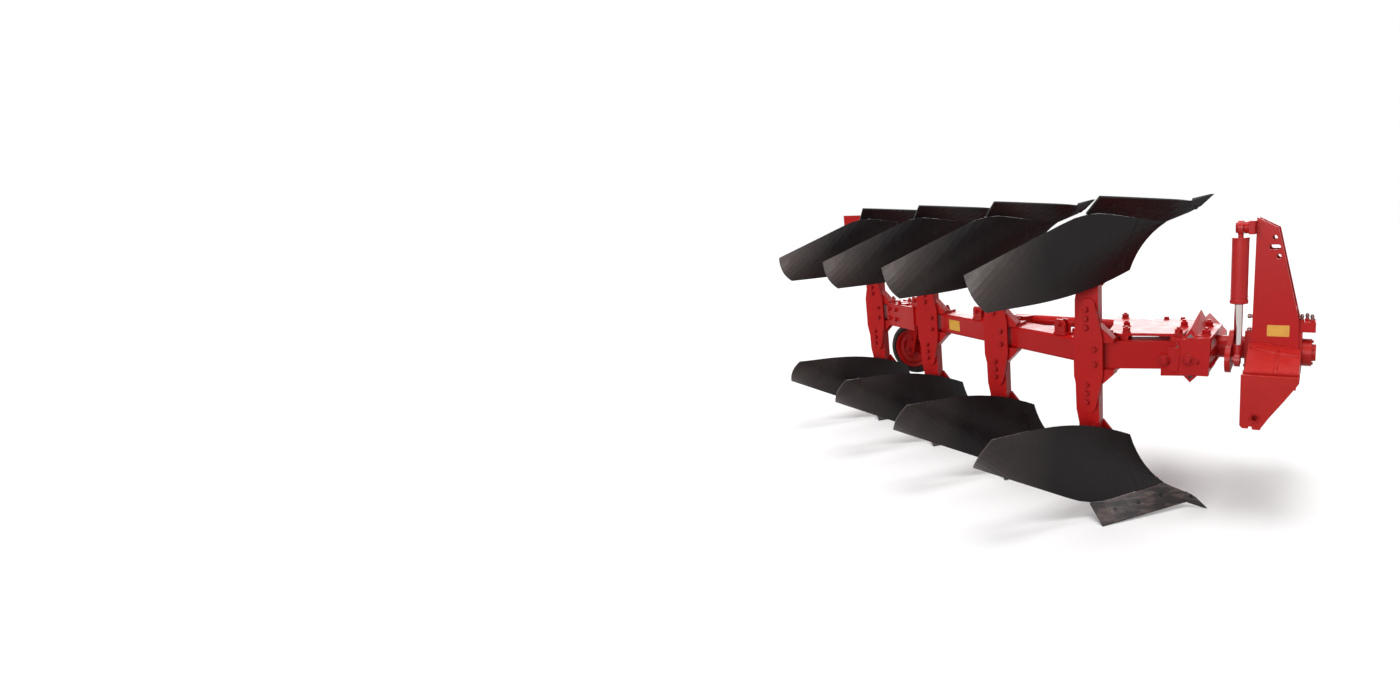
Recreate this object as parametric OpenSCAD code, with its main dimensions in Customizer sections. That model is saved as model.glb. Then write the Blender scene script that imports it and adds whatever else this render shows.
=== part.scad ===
// Four-furrow reversible mounted plough, parked on its lower set of bodies.
// Millimetres. +X is the direction of travel, +Y is to the left, +Z is up.
// The layout is drawn from the nose of the first body: x = 0 there, y = 0 on
// its landside and z = 0 on the ground. placed() then moves everything so that
// the origin lies on the ground under the centre of the machine's box.
// The upper set of bodies is the lower set's mirror image in the level of the
// beam, so after half a turn about the turnover shaft it stands just the same.

/* [Layout] */
// Distance between two bodies, measured along the beam
body_spacing = 845; // [820:5:900]
// Width of one furrow
furrow_w = 405; // [350:5:430]
// Height of the beam's centre line and of the turnover axis over the ground
mid_h = 825; // [790:5:870]
// How far the turnover axis lies to the left of the first landside
axis_y = 340; // [320:5:400]

/* [Beam and frame] */
// Width of the main beam
beam_w = 180; // [140:5:200]
// Height of the main beam
beam_h = 134; // [110:2:160]
// Where the beam's centre line crosses a landside, behind that body's nose
beam_x = 495; // [470:5:520]
// Length of beam behind the last crossing
beam_tail = 290; // [240:5:300]
// Half the height of the cross tube, which stands on its edge
cross_half = 138; // [120:1:145]
// Half the depth of the cross tube between its front and rear flats
cross_flat = 105; // [90:1:118]
// Wall of the cross tube
cross_wall = 12; // [8:1:16]
// How far the cross tube's centre line lies behind the first nose
cross_x = 108; // [100:1:120]
// Reach of the cross tube past the turnover axis
cross_reach = 330; // [300:5:360]
// Angle by which the front arm points left of travel
arm_angle = 13.4; // [8:0.1:16]
// Width of the front arm
arm_w = 154; // [120:1:165]
// Height of the front arm
arm_h = 146; // [120:2:160]
// Diameter of the brace between the cross tube and the beam
brace_d = 66; // [40:2:76]

/* [Legs] */
// Thickness of each leg plate
leg_t = 20; // [12:1:25]
// How far the outer face of the leg plate lies right of the landside
leg_out = 120; // [115:1:130]
// Wall of the box section legs above and below the beam
leg_wall = 12; // [8:1:16]
// Thickness of the clamp plates on the beam
clamp_t = 15; // [10:1:20]

/* [Bodies] */
// Thickness of a mouldboard and its shin
board_t = 9; // [6:1:12]
// Thickness of a share
share_t = 10; // [7:1:14]
// Thickness of the frog's plates
frog_t = 16; // [10:1:20]
// Thickness of a landside bar
landside_t = 14; // [10:1:18]
// Height of a landside bar
landside_h = 100; // [80:5:120]
// Length of the last body's landside behind its nose
long_landside = 940; // [800:5:960]

/* [Headstock] */
// Radius of the turnover shaft
shaft_r = 62; // [50:1:66]
// Radial running clearance of the shaft in its housing
run_gap = 0.05; // [0.02:0.01:0.08]
// Half of the clear width between the mast plates
mast_half = 80; // [76:1:95]
// Thickness of a mast plate
mast_t = 20; // [12:1:25]
// Height of the mast over the turnover axis
mast_h = 705; // [680:5:740]
// Distance between the lower hitch points
hitch_w = 825; // [780:5:870]
// Radius of the lower hitch holes
hitch_hole_r = 14.3; // [14.1:0.1:18.5]
// Clear gap in each lower hitch clevis
hitch_gap = 62; // [50:1:70]
// Thickness of the clevis cheeks
cheek_t = 20; // [14:1:25]
// Radius of the top link holes
top_hole_r = 12.9; // [12.8:0.1:16]

/* [Turnover cylinder] */
// Height of the cylinder's upper pin over the turnover axis
cyl_top = 655; // [640:5:670]
// How far the crank's pin and the cylinder stand to the right of the axis
crank_side = 160; // [158:1:170]
// Outer radius of the barrel
barrel_r = 44; // [40:1:48]
// Length of the barrel below the upper pin
barrel_l = 390; // [370:5:400]
// Radius of the chromed rod
rod_r = 22; // [16:1:24]
// Centre plane of the cylinder, ahead of the first nose
cyl_x = 112; // [108:1:114]
// Radius of the cylinder's pins
pin_r = 19; // [15:1:20]

/* [Depth wheel] */
// Outer radius of the tyre
wheel_r = 225; // [210:1:235]
// Width of the tyre
tyre_w = 140; // [120:5:150]
// Radius of the rim under the tyre
rim_r = 150; // [140:5:155]
// Length of the swing arm from its pivot to the axle
wheel_arm_l = 384; // [360:1:400]
// Angle of the hanging arm below level
wheel_drop = 75; // [60:1:80]
// Where the wheel's bracket sits, measured along the beam from its first crossing
wheel_at = 2482; // [2440:1:2500]
// How far the wheel's middle plane lies left of the beam's centre line there
wheel_out = 360; // [350:1:380]
// Thickness of the swing arm
wheel_arm_t = 24; // [16:1:26]
// Radius of the wheel's axle
axle_r = 22; // [16:1:25]

/* [Hidden] */
$fn = 64;

// Clearance at which welded or bolted pieces lie against each other
seat = 0.3;
// Number of bodies in each set
bodies = 4;

// --- derived layout ---
beam_a = asin(furrow_w / body_spacing);
step_x = body_spacing * cos(beam_a);
beam_end = (bodies - 1) * body_spacing + beam_tail;
beam_start = [-beam_x, 0];
beam_dir = [-cos(beam_a), sin(beam_a)];
beam_right = [-sin(beam_a), -cos(beam_a)];
beam_far_y = beam_w / 2 / cos(beam_a);

// Plan of the front arm: it runs back from the head plate, and its knee turns
// on to the beam. Each corner lies where the arm's side meets the beam's side.
arm_dir = [-cos(arm_angle), -sin(arm_angle)];
arm_left = [-sin(arm_angle), cos(arm_angle)];
arm_head = [-165.3, 31];
knee_l = 120;
function meet(from, offset) =
    from + arm_dir * (offset - (from - beam_start) * beam_right)
        / (arm_dir * beam_right);
knee_near = meet(arm_head, beam_w / 2);
knee_far = meet(arm_head + arm_w * arm_left, -beam_w / 2);
beam_front = (knee_near - beam_start) * beam_dir + knee_l + seat;

// Brace, measured back from the first crossing, and its rise over the beam's
// centre line
brace_at = 875;
brace_rise = 68;

// Strap over the front arm: its underside over the axis, and its thickness
strap_z = 95;
strap_t = 15;

// Landside heights, and where the landside bars begin behind the nose
landside_z = 50;
landside_front = 268;
short_landside = 600;

// Legs, behind the nose
leg_rear = 706;
leg_front = 572;
leg_end_z = 460;
leg_ear = 490;
ear_z = 88;

// Turnover cylinder: the upper pin stands straight over the crank's pin, and
// the crank lies square to the line from the shaft to the upper pin
crank_drop = crank_side * crank_side / cyl_top;
crank_r = sqrt(crank_side * crank_side + crank_drop * crank_drop);
cyl_y = axis_y - crank_side;
rod_eye_z = mid_h - crank_drop;
eye_r = 36;
eye_w = 28;
web_t = 28;
web_x = 52;

// Headstock, ahead of the first nose
housing_rear = 140;
housing_front = 430;
mast_rear = 175;
housing_half = mast_half - seat;

// Lower hitch: the cheeks' lower edge and the pin, over the turnover axis
hitch_low = -320;
hitch_pin = [235, -262];

// The mast's rear edge leans forward by 10 mm over its height.
function mast_edge(z) = mast_rear + 10 * (z + 60) / (mast_h + 60);

// Depth wheel
wheel_pivot_x = -beam_x - wheel_at * cos(beam_a);
wheel_y = wheel_at * sin(beam_a) + wheel_out;
wheel_pin_r = 30;
wheel_arm_y = wheel_y - tyre_w / 2 - 12 - wheel_arm_t;
wheel_x = wheel_pivot_x - wheel_arm_l * cos(wheel_drop);
wheel_z = mid_h - wheel_arm_l * sin(wheel_drop);

// Lower tail corner of a mouldboard, in the columns of board_rows below, and
// how far a board reaches behind its nose and bulges to the right
tail_foot = [1050, 665, 350];
board_rear = 1050.52;
board_side = 726.9;

// The box around the machine, whose centre is the origin
front_x = 501;
rear_x = -(bodies - 1) * step_x - board_rear;
near_y = -board_side;
far_y = wheel_y + tyre_w / 2;
centre_x = (front_x + rear_x) / 2;
centre_y = (near_y + far_y) / 2;

// --- colours and placing ---

module red() { color([0.68, 0.13, 0.13]) children(); }
module black() { color([0.21, 0.19, 0.20]) children(); }
module chrome() { color([0.76, 0.72, 0.72]) children(); }

// Moves the layout so that the origin is under the machine's centre.
module placed() {
    translate([-centre_x, -centre_y, 0]) children();
}

// Body number i, counted from the front, in the lower or the upper set.
module at_body(i, upper = false) {
    translate([-i * step_x, i * furrow_w, 0])
        if (upper)
            translate([0, 0, 2 * mid_h]) mirror([0, 0, 1]) children();
        else
            children();
}

module each_body(upper = false) {
    for (i = [0:bodies - 1]) at_body(i, upper) children();
}

// Children drawn along +X from the first crossing run back down the beam,
// with the beam's left side at -Y and its centre line at z = 0.
module down_beam() {
    translate([-beam_x, 0, mid_h]) rotate([0, 0, 180 - beam_a]) children();
}

// A box between two corners.
module box(low, high) {
    translate(low) cube(high - low);
}

// A round bar between two points.
module bar(from, to, r) {
    d = to - from;
    translate(from)
        rotate([0, acos(d[2] / norm(d)), atan2(d[1], d[0])])
            cylinder(r = r, h = norm(d));
}

module bar_x(x0, x1, y, z, r) {
    translate([x0, y, z]) rotate([0, 90, 0]) cylinder(r = r, h = x1 - x0);
}

module bar_y(y0, y1, x, z, r) {
    translate([x, y0, z]) rotate([-90, 0, 0]) cylinder(r = r, h = y1 - y0);
}

// An outline drawn as [x, z] and given a thickness between two y values.
module slab_y(y0, y1, outline) {
    translate([0, y1, 0]) rotate([90, 0, 0])
        linear_extrude(height = y1 - y0) polygon(outline);
}

// A bar with rounded long edges, along +X, centred on its own line.
module rounded_bar(length, width, height, r) {
    rotate([90, 0, 90]) linear_extrude(height = length) {
        square([width - 2 * r, height], center = true);
        square([width, height - 2 * r], center = true);
        for (a = [-1, 1], b = [-1, 1])
            translate([a * (width / 2 - r), b * (height / 2 - r)]) circle(r = r);
    }
}

// --- the working surface ---

function lerp(a, b, t) = a + (b - a) * t;
function unit(v) = v / norm(v);
function bez2(p, t) = lerp(lerp(p[0], p[1], t), lerp(p[1], p[2], t), t);
function bez3(p, t) =
    lerp(bez2([p[0], p[1], p[2]], t), bez2([p[1], p[2], p[3]], t), t);

// Control rows of the mouldboard's surface, from shin to tail. Columns are the
// belly and crown of each row, as [behind the nose, right of the landside,
// height above the ground].
board_rows = [
    [[360, 50, 215], [427, 0, 375]],
    [[545, 260, 285], [655, 215, 515]],
    [[750, 500, 365], [785, 425, 510]],
    [[965, 770, 450], [917, 697, 518]]
];

// The board's foot runs straight along the share and straight on to the tail,
// with a short curve where it turns.
foot_start = [230, 30, 130];
foot_corner = [560, 308, 70];
foot_turn = 0.42;
foot_curve = 0.1;
function foot_straight(s) = s < foot_turn
    ? lerp(foot_start, foot_corner, s / foot_turn)
    : lerp(foot_corner, tail_foot, (s - foot_turn) / (1 - foot_turn));
function foot(s) = abs(s - foot_turn) >= foot_curve
    ? foot_straight(s)
    : bez2([foot_straight(foot_turn - foot_curve), foot_corner,
            foot_straight(foot_turn + foot_curve)],
           (s - foot_turn + foot_curve) / 2 / foot_curve);

// The point at s along the board (0 shin, 1 tail) and t up it (0 foot, 1 crown).
board = function(s, t)
    let (column = [for (k = [0, 1]) bez3([for (row = board_rows) row[k]], s)],
         p = bez2([foot(s), column[0], column[1]], t))
    [-p[0], -p[1], p[2]];

// How far along the board the shin piece reaches, at height t.
function shin_end(t) = 0.15 - 0.1 * t;

// Share: its lower edge runs from the inner corner to the wing, in the board
// rows' columns. Its upper edge runs from the point up to the shin's foot, and
// then along the board's foot as far as share_reach.
share_inner = [108.7, 21, 30];
share_wing = [466, 391, 8.9];
share_front = [117.9, 16, 86];
share_bend = 0.25;
share_reach = foot_turn;

share = function(s, t)
    let (edge = lerp(share_inner, share_wing, s),
         foot = board(share_reach * max(0, s - share_bend) / (1 - share_bend), 0),
         top = s < share_bend
             ? lerp([-share_front[0], -share_front[1], share_front[2]], foot,
                    s / share_bend)
             : foot)
    lerp([-edge[0], -edge[1], edge[2]], top, t);

// Values from a to b in n equal steps.
function steps(a, b, n) = [for (i = [0:n]) lerp(a, b, i / n)];

// The point at distance d behind a surface, where g is [s, t].
function behind(sheet, g, d, e = 0.001) =
    let (along = sheet(g[0] + e, g[1]) - sheet(g[0] - e, g[1]),
         up = sheet(g[0], g[1] + e) - sheet(g[0], g[1] - e))
    sheet(g[0], g[1]) + d * unit(cross(along, up));

// A plate behind a surface, between two distances from it. The grid's rows
// run from shin to tail and hold the [s, t] of their points, foot first.
module plate_behind(sheet, grid, front, back) {
    rows = len(grid);
    cols = len(grid[0]);
    n = rows * cols;
    function layer(d) = [for (row = grid) for (g = row) behind(sheet, g, d)];
    function at(i, j) = i * cols + j;
    function skin(k, i, j) =
        [[k + at(i, j), k + at(i, j + 1), k + at(i + 1, j + 1)],
         [k + at(i, j), k + at(i + 1, j + 1), k + at(i + 1, j)]];
    function turned(faces) = [for (f = faces) [f[0], f[2], f[1]]];
    function rim(a, b) = [[a, b, n + b], [a, n + b, n + a]];
    polyhedron(
        concat(layer(back), layer(front)),
        concat(
            [for (i = [0:rows - 2]) for (j = [0:cols - 2]) each skin(0, i, j)],
            [for (i = [0:rows - 2]) for (j = [0:cols - 2]) each
                turned(skin(n, i, j))],
            [for (i = [0:rows - 2]) each rim(at(i, 0), at(i + 1, 0))],
            [for (i = [0:rows - 2]) each
                turned(rim(at(i, cols - 1), at(i + 1, cols - 1)))],
            [for (j = [0:cols - 2]) each turned(rim(at(0, j), at(0, j + 1)))],
            [for (j = [0:cols - 2]) each
                rim(at(rows - 1, j), at(rows - 1, j + 1))]));
}

// --- bodies ---

// Grid rows of the mouldboard and of the shin. The frog's seat repeats some of
// them, so that it follows both.
board_cols = steps(0, 1, 7);
function board_row(k) =
    [for (t = board_cols) [lerp(shin_end(t) + 0.002, 1, k / 13), t]];
function shin_row(k) = [for (t = board_cols) [shin_end(t) * k / 2, t]];
function share_row(k) = [for (t = steps(0, 0.99, 3)) [k / 8, t]];
function without_ends(row) = [for (j = [1:len(row) - 2]) row[j]];

module mouldboard() {
    black() plate_behind(board, [for (k = [0:13]) board_row(k)], 0, board_t);
}

module shin() {
    black() plate_behind(board, [for (k = [0:2]) shin_row(k)], 0, board_t);
}

module share_plate() {
    black() plate_behind(share, [for (k = [0:8]) share_row(k)], 0, share_t);
}

// The replaceable point ahead of the share, down to the tip on the ground.
module point() {
    black() hull() polyhedron(
        [[0, 0, 0], [-64, -2, 57], [-117, -16, 84], [-108, -20, 30],
         [-20, 0, 0], [-108, 0, 18], [-117, 0, 84], [-64, 0, 57]],
        [[0, 1, 2], [0, 2, 3], [0, 3, 4], [4, 3, 5], [5, 3, 2], [5, 2, 6],
         [6, 2, 1], [6, 1, 7], [0, 7, 1], [4, 5, 6], [4, 6, 7], [4, 7, 0]]);
}

module landside(length) {
    red() box([-length, -landside_t, landside_z],
              [-landside_front, 0, landside_z + landside_h]);
}

// The frog: an upright web bolted to the leg, the seats that back the
// mouldboard and the share, and a stay to the back of the mouldboard.
module frog() {
    web_y = -landside_t - seat;
    web_mid = web_y - frog_t / 2;
    share_seat = [for (k = [3:6]) without_ends(share_row(k))];
    stay_seat = [for (k = [8:10]) [for (j = [3:5]) board_row(k)[j]]];
    red() {
        slab_y(web_y - frog_t, web_y,
            [[-290, 60], [-290, 125], [-394, 240], [-506, 380], [-572, 458],
             [-700, 458], [-700, 330], [-620, 60]]);
        plate_behind(board,
            [for (row = [shin_row(1), shin_row(2), board_row(0), board_row(1),
                         board_row(2), board_row(3)]) without_ends(row)],
            board_t + seat, board_t + frog_t);
        plate_behind(share, share_seat, share_t + seat, share_t + frog_t);
        bar(behind(share, share_seat[1][1], share_t + 10),
            [-360, web_mid, 90], 9);
        plate_behind(board, stay_seat, board_t + seat, board_t + frog_t);
        bar(behind(board, stay_seat[1][1], board_t + frog_t - 1),
            [-640, web_mid, 250], 14);
    }
}

// A leg: a plate across the beam's near side, and a box section above and
// below the beam that flares forward to an ear on the clamp plates.
module legs(i) {
    base = (i == 0 ? arm_h : beam_h) / 2 + clamp_t + 2 * seat;
    near_y = -leg_out + leg_t + seat;
    far_y = -landside_t - 2 * seat - frog_t;
    outer = [[-leg_rear, base], [-leg_rear + 4, 300], [-leg_rear + 19, 375],
             [-leg_rear + 19, leg_end_z], [-leg_front, leg_end_z],
             [-leg_front, 170], [-leg_ear, base + 6], [-leg_ear, base]];
    plate = [[-leg_rear, 110], [-668, 285], [-655, 300], [-638, 308],
             [-615, 308], [-598, 300], [-587, 285], [-545, 100]];
    red() at_body(i) translate([0, 0, mid_h]) {
        slab_y(-leg_out, -leg_out + leg_t,
            concat(plate, [for (k = [7:-1:0]) [plate[k][0], -plate[k][1]]]));
        for (m = [0, 1]) mirror([0, 0, m]) difference() {
            slab_y(near_y, far_y, outer);
            slab_y(near_y + leg_wall, far_y - leg_wall,
                [[-leg_rear + leg_wall, base + leg_wall],
                 [-leg_rear + leg_wall + 19, 375],
                 [-leg_rear + leg_wall + 19, leg_end_z + 1],
                 [-leg_front - leg_wall, leg_end_z + 1],
                 [-leg_front - leg_wall, 166],
                 [-leg_ear - 2 * leg_wall, base + leg_wall]]);
        }
    }
}

// Short landsides on the leading bodies and a long one on the last.
module landsides(upper) {
    for (i = [0:bodies - 1]) at_body(i, upper)
        landside(i == bodies - 1 ? long_landside : short_landside);
}

// Clamp plates above and below the beam at each leg, and a pair of lugs on top
// of the beam behind each leg but the last.
module leg_clamps() {
    red() {
        for (i = [0:bodies - 1], m = [0, 1])
            at_body(i) translate([0, 0, mid_h]) mirror([0, 0, m])
                translate([0, 0, (i == 0 ? arm_h : beam_h) / 2 + seat])
                    box([-leg_rear, -leg_out + leg_t + seat, 0],
                        [-leg_ear, 60, clamp_t]);
        for (i = [0:bodies - 2])
            down_beam() translate([i * body_spacing + 388, 0, beam_h / 2 + seat]) {
                box([-50, -45, 0], [50, beam_w / 2 - 6, 13]);
                for (y = [30, 68]) translate([0, y + 12, 0]) rotate([90, 0, 0])
                    linear_extrude(height = 12)
                        polygon([[-45, 0], [-45, 60], [-25, 88], [30, 88],
                                 [45, 70], [45, 0]]);
            }
    }
}

// --- frame ---

module main_beam() {
    red() down_beam() translate([beam_front, 0, 0])
        rounded_bar(beam_end - beam_front, beam_w, beam_h, 15);
}

// Section of the cross tube as [x, z]: it stands on its edge, and its front
// and rear corners are cut flat.
function tube_section(half, flat) =
    [[-flat, half - flat], [0, half], [flat, half - flat],
     [flat, flat - half], [0, -half], [-flat, flat - half]];

// The room that pieces seated on the cross tube leave for it.
module tube_room() {
    translate([-cross_x, 0, mid_h])
        slab_y(-200, 900,
            tube_section(cross_half + seat * sqrt(2), cross_flat + seat));
}

module cross_tube() {
    inner = cross_wall * sqrt(2);
    length = axis_y + cross_reach;
    red() translate([-cross_x, 0, mid_h]) difference() {
        slab_y(10, length, tube_section(cross_half, cross_flat));
        slab_y(9, length + 1, tube_section(cross_half - inner,
                                           cross_flat - cross_wall));
    }
}

// Plate on the tube's right end, and a tab on the arm's right side.
module head_plate() {
    red() {
        slab_y(-30, 10 - seat,
            [[-172, mid_h - 92], [-8, mid_h - 90], [2, mid_h + 112],
             [-162, mid_h + 95]]);
        difference() {
            translate([arm_head[0], arm_head[1], mid_h])
                rotate([0, 0, 180 + arm_angle])
                    box([-20, seat, -105], [100, 22, 5]);
            tube_room();
        }
    }
}

// Saddle on the cross tube: flanges in front of and behind its upper edge, a
// ridge that rises to the left, and short flanges below.
module head_saddle() {
    top = 110;
    function face(z) = cross_half - z;
    module flange(side, z0, z1, reach)
        polygon([[side * face(z0) * 0.9, z0], [side * face(z1) * 0.9, z1],
                 [side * reach, z1], [side * reach, z1 - 18],
                 [side * (face(z0) + 24), z0]]);
    red() difference() {
        translate([-cross_x, 0, mid_h]) {
            translate([0, 440, 0]) rotate([90, 0, 0])
                linear_extrude(height = 420) {
                    flange(1, 68, top, 108);
                    flange(-1, arm_h / 2 + seat, strap_z - seat, 108);
                }
            hull() {
                slab_y(20, 21, [[-34, top - 8], [0, cross_half + 9],
                                [34, top - 8]]);
                slab_y(340, 341, [[-50, top - 20], [0, cross_half + 67],
                                  [50, top - 20]]);
                slab_y(400, 401, [[-50, top - 20], [0, cross_half + 30],
                                  [50, top - 20]]);
            }
            mirror([0, 0, 1]) {
                translate([0, axis_y - shaft_r - 12, 0]) rotate([90, 0, 0])
                    linear_extrude(height = axis_y - shaft_r - 32)
                        flange(1, 45, 85, 95);
                translate([0, 440, 0]) rotate([90, 0, 0])
                    linear_extrude(height = 430 - arm_head[1] - arm_w)
                        flange(-1, 45, 85, 95);
            }
        }
        tube_room();
        translate([-cross_x, 0, mid_h]) box([-200, 0, strap_z - seat],
                                            [-43, 500, strap_z + strap_t + seat]);
    }
}

// Front arm from the cross tube back to its knee on the front of the beam.
module front_arm() {
    knee_end = knee_near + knee_l * beam_dir;
    red() difference() {
        translate([0, 0, mid_h - arm_h / 2]) linear_extrude(height = arm_h)
            polygon([arm_head, knee_near, knee_end,
                     knee_end - beam_w * beam_right, knee_far,
                     arm_head + arm_w * arm_left]);
        tube_room();
    }
}

// Waisted plate over the arm, the tube's rear side and the front of the brace,
// on a spacer that stands on the knee.
module top_strap() {
    red() {
        translate([0, 0, mid_h + strap_z]) linear_extrude(height = strap_t)
            polygon([[-484, -5], [-420, 22], [-348, 37], [-280, 45],
                     [-223, 52], [-155, 50], [-155, 440], [-200, 500],
                     [-268, 520], [-310, 490], [-360, 476], [-430, 500],
                     [-487, 545], [-660, 600], [-640, 420], [-600, 285],
                     [-560, 60]]);
        box([-484, 12, mid_h + arm_h / 2 + seat],
            [-440, 92, mid_h + strap_z + 1]);
    }
}

// Brace from the cross tube's left end to the far side of the beam, with a
// seat block at its front and a lug at its rear.
module brace() {
    along = brace_at / cos(beam_a);
    rear = [-beam_x - brace_at, brace_at * tan(beam_a) + beam_far_y + 40,
            mid_h + brace_rise];
    block_y = axis_y + cross_reach - 70;
    red() difference() {
        union() {
            bar([-300, block_y, mid_h + 46], rear, brace_d / 2);
            slab_y(block_y - 60, block_y + 60,
                [[-cross_x - cross_flat + 10, mid_h - 33],
                 [-cross_x - 30, mid_h + strap_z - seat],
                 [-430, mid_h + strap_z - seat], [-430, mid_h + 30],
                 [-340, mid_h - 33]]);
            down_beam() box([along - 60, -beam_w / 2 - seat - 90, 0],
                            [along + 60, -beam_w / 2 - seat, brace_rise + 30]);
        }
        tube_room();
    }
}

// --- turnover shaft ---

// The shaft's rear end is shaped to the front of the cross tube.
module turnover_shaft() {
    red() difference() {
        bar_x(-70, housing_front - 12, axis_y, mid_h, shaft_r);
        tube_room();
    }
}

module turnover_crank() {
    red() translate([web_x, axis_y, mid_h])
        rotate([atan2(crank_drop, crank_side), 0, 0]) rotate([90, 0, 90])
            linear_extrude(height = web_t) difference() {
                union() {
                    circle(r = 95);
                    translate([-crank_r, 0]) circle(r = 70);
                    polygon([[0, -90], [0, 90], [-crank_r, 62],
                             [-crank_r, -62]]);
                }
                circle(r = shaft_r + seat);
            }
}

// An outline drawn as [y, z] and given a thickness between two x values.
module slab_x(x0, x1, outline) {
    translate([x0, 0, 0]) rotate([90, 0, 90])
        linear_extrude(height = x1 - x0) polygon(outline);
}

// --- headstock ---

module headstock_housing() {
    red() difference() {
        union() {
            box([housing_rear, axis_y - housing_half, mid_h - 115],
                [housing_front, axis_y + housing_half, mid_h + 105]);
            box([housing_rear + 25, axis_y - mast_half - mast_t, mid_h - 185],
                [housing_front - 30, axis_y + mast_half + mast_t,
                 mid_h - 60 - seat]);
        }
        bar_x(housing_rear - 1, housing_front - 10, axis_y, mid_h,
              shaft_r + run_gap);
    }
}

module front_hub() {
    red() {
        bar_x(housing_front + seat, 480, axis_y, mid_h - 12, 74);
        bar_x(479, front_x, axis_y, mid_h - 12, 45);
    }
}

module hydraulic_block() {
    red() box([400, axis_y - 60, mid_h + 105 + seat],
              [495, axis_y + 40, mid_h + 160]);
}

module mast_outline() {
    polygon([[mast_rear, -60], [mast_edge(mast_h), mast_h],
             [293, mast_h - 54], [410, 175], [420, -60]]);
}

module mast_plates() {
    red() difference() {
        for (y = [axis_y - mast_half, axis_y + mast_half + mast_t])
            translate([0, y, mid_h]) rotate([90, 0, 0])
                linear_extrude(height = mast_t) mast_outline();
        for (hole = [[276, 601], [299, 504]])
            bar_y(axis_y - 200, axis_y + 200, hole[0], mid_h + hole[1],
                  top_hole_r);
        for (x = [262, 294])
            bar_y(axis_y - 200, axis_y + 200, x, mid_h + 552, top_hole_r);
        box([262, axis_y - 200, mid_h + 552 - top_hole_r],
            [294, axis_y + 200, mid_h + 552 + top_hole_r]);
    }
}

module mast_webs() {
    red() {
        box([mast_rear + 12, axis_y - housing_half, mid_h + 105 + seat],
            [mast_rear + 27, axis_y + housing_half, mid_h + 640]);
        box([380, axis_y - housing_half, mid_h + 105 + seat],
            [395, axis_y + housing_half, mid_h + 230]);
    }
}

// Carries the cylinder's upper pin behind the mast.
module cylinder_bracket() {
    z = mid_h + cyl_top;
    face = mast_edge(cyl_top - 34) - seat;
    red() {
        box([face - 30, cyl_y - 34, z - 34],
            [face, axis_y + mast_half + mast_t, z + 34]);
        bar_x(cyl_x + eye_w / 2 + 4, face - 29, cyl_y, z, 30);
    }
    chrome() {
        bar_x(cyl_x - eye_w / 2 - 4, cyl_x + eye_w / 2 + 5, cyl_y, z, pin_r);
        bar_x(cyl_x - eye_w / 2 - 11, cyl_x - eye_w / 2 - 3, cyl_y, z, 27);
    }
}

// Cast arm from beside the mast down to the inner cheek of a lower clevis.
module hitch_arm(side) {
    inner = mast_half + mast_t + seat;
    outer = hitch_w / 2 - hitch_gap / 2 - cheek_t - seat;
    red() translate([0, axis_y, mid_h]) mirror([0, side < 0 ? 1 : 0, 0])
        hull() {
            slab_y(inner, inner + 12,
                [[165, 44], [214, 50], [300, 34], [428, 20], [428, -150],
                 [380, -185], [200, -185], [165, -150]]);
            slab_y(outer - 8, outer,
                [[168, -64], [168, hitch_low + 18], [262, hitch_low + 18],
                 [304, -250], [390, -139], [428, -84], [428, -64]]);
        }
}

module hitch_clevis(side) {
    cheek = [[163, -50], [163, hitch_low + 14], [176, hitch_low],
             [204, hitch_low], [209, hitch_low + 12], [221, hitch_low + 12],
             [226, hitch_low - 3], [262, hitch_low - 3],
             [268, hitch_low + 10], [304, -255], [350, -194], [390, -139],
             [434, -76], [434, -50]];
    red() translate([0, axis_y, mid_h]) mirror([0, side < 0 ? 1 : 0, 0])
        difference() {
            union() {
                for (y = [hitch_w / 2 - hitch_gap / 2 - cheek_t,
                          hitch_w / 2 + hitch_gap / 2])
                    slab_y(y, y + cheek_t, cheek);
                box([170, hitch_w / 2 - hitch_gap / 2 - cheek_t, -110],
                    [420, hitch_w / 2 + hitch_gap / 2 + cheek_t, -80]);
            }
            bar_y(hitch_w / 2 - 100, hitch_w / 2 + 100, hitch_pin[0],
                  hitch_pin[1], hitch_hole_r);
        }
}

// --- turnover cylinder ---

module cylinder_barrel() {
    z = mid_h + cyl_top;
    red() difference() {
        union() {
            bar_x(cyl_x - eye_w / 2, cyl_x + eye_w / 2, cyl_y, z, eye_r);
            translate([cyl_x, cyl_y, z - 58])
                cylinder(r = eye_w / 2, h = 58 - pin_r - 6);
            translate([cyl_x, cyl_y, z - barrel_l])
                cylinder(r = barrel_r, h = barrel_l - 50);
        }
        bar_x(cyl_x - 50, cyl_x + 50, cyl_y, z, pin_r + run_gap);
        translate([cyl_x, cyl_y, z - barrel_l - 1])
            cylinder(r = rod_r + run_gap, h = barrel_l - 70);
    }
}

module cylinder_rod() {
    chrome() {
        translate([cyl_x, cyl_y, rod_eye_z + 20])
            cylinder(r = rod_r, h = cyl_top - 310 + crank_drop);
        bar_x(cyl_x - eye_w / 2, cyl_x + eye_w / 2, cyl_y, rod_eye_z, eye_r);
        bar_x(web_x + web_t + 4, cyl_x + eye_w / 2 + 4, cyl_y, rod_eye_z, pin_r);
    }
}

// --- depth wheel ---

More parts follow.
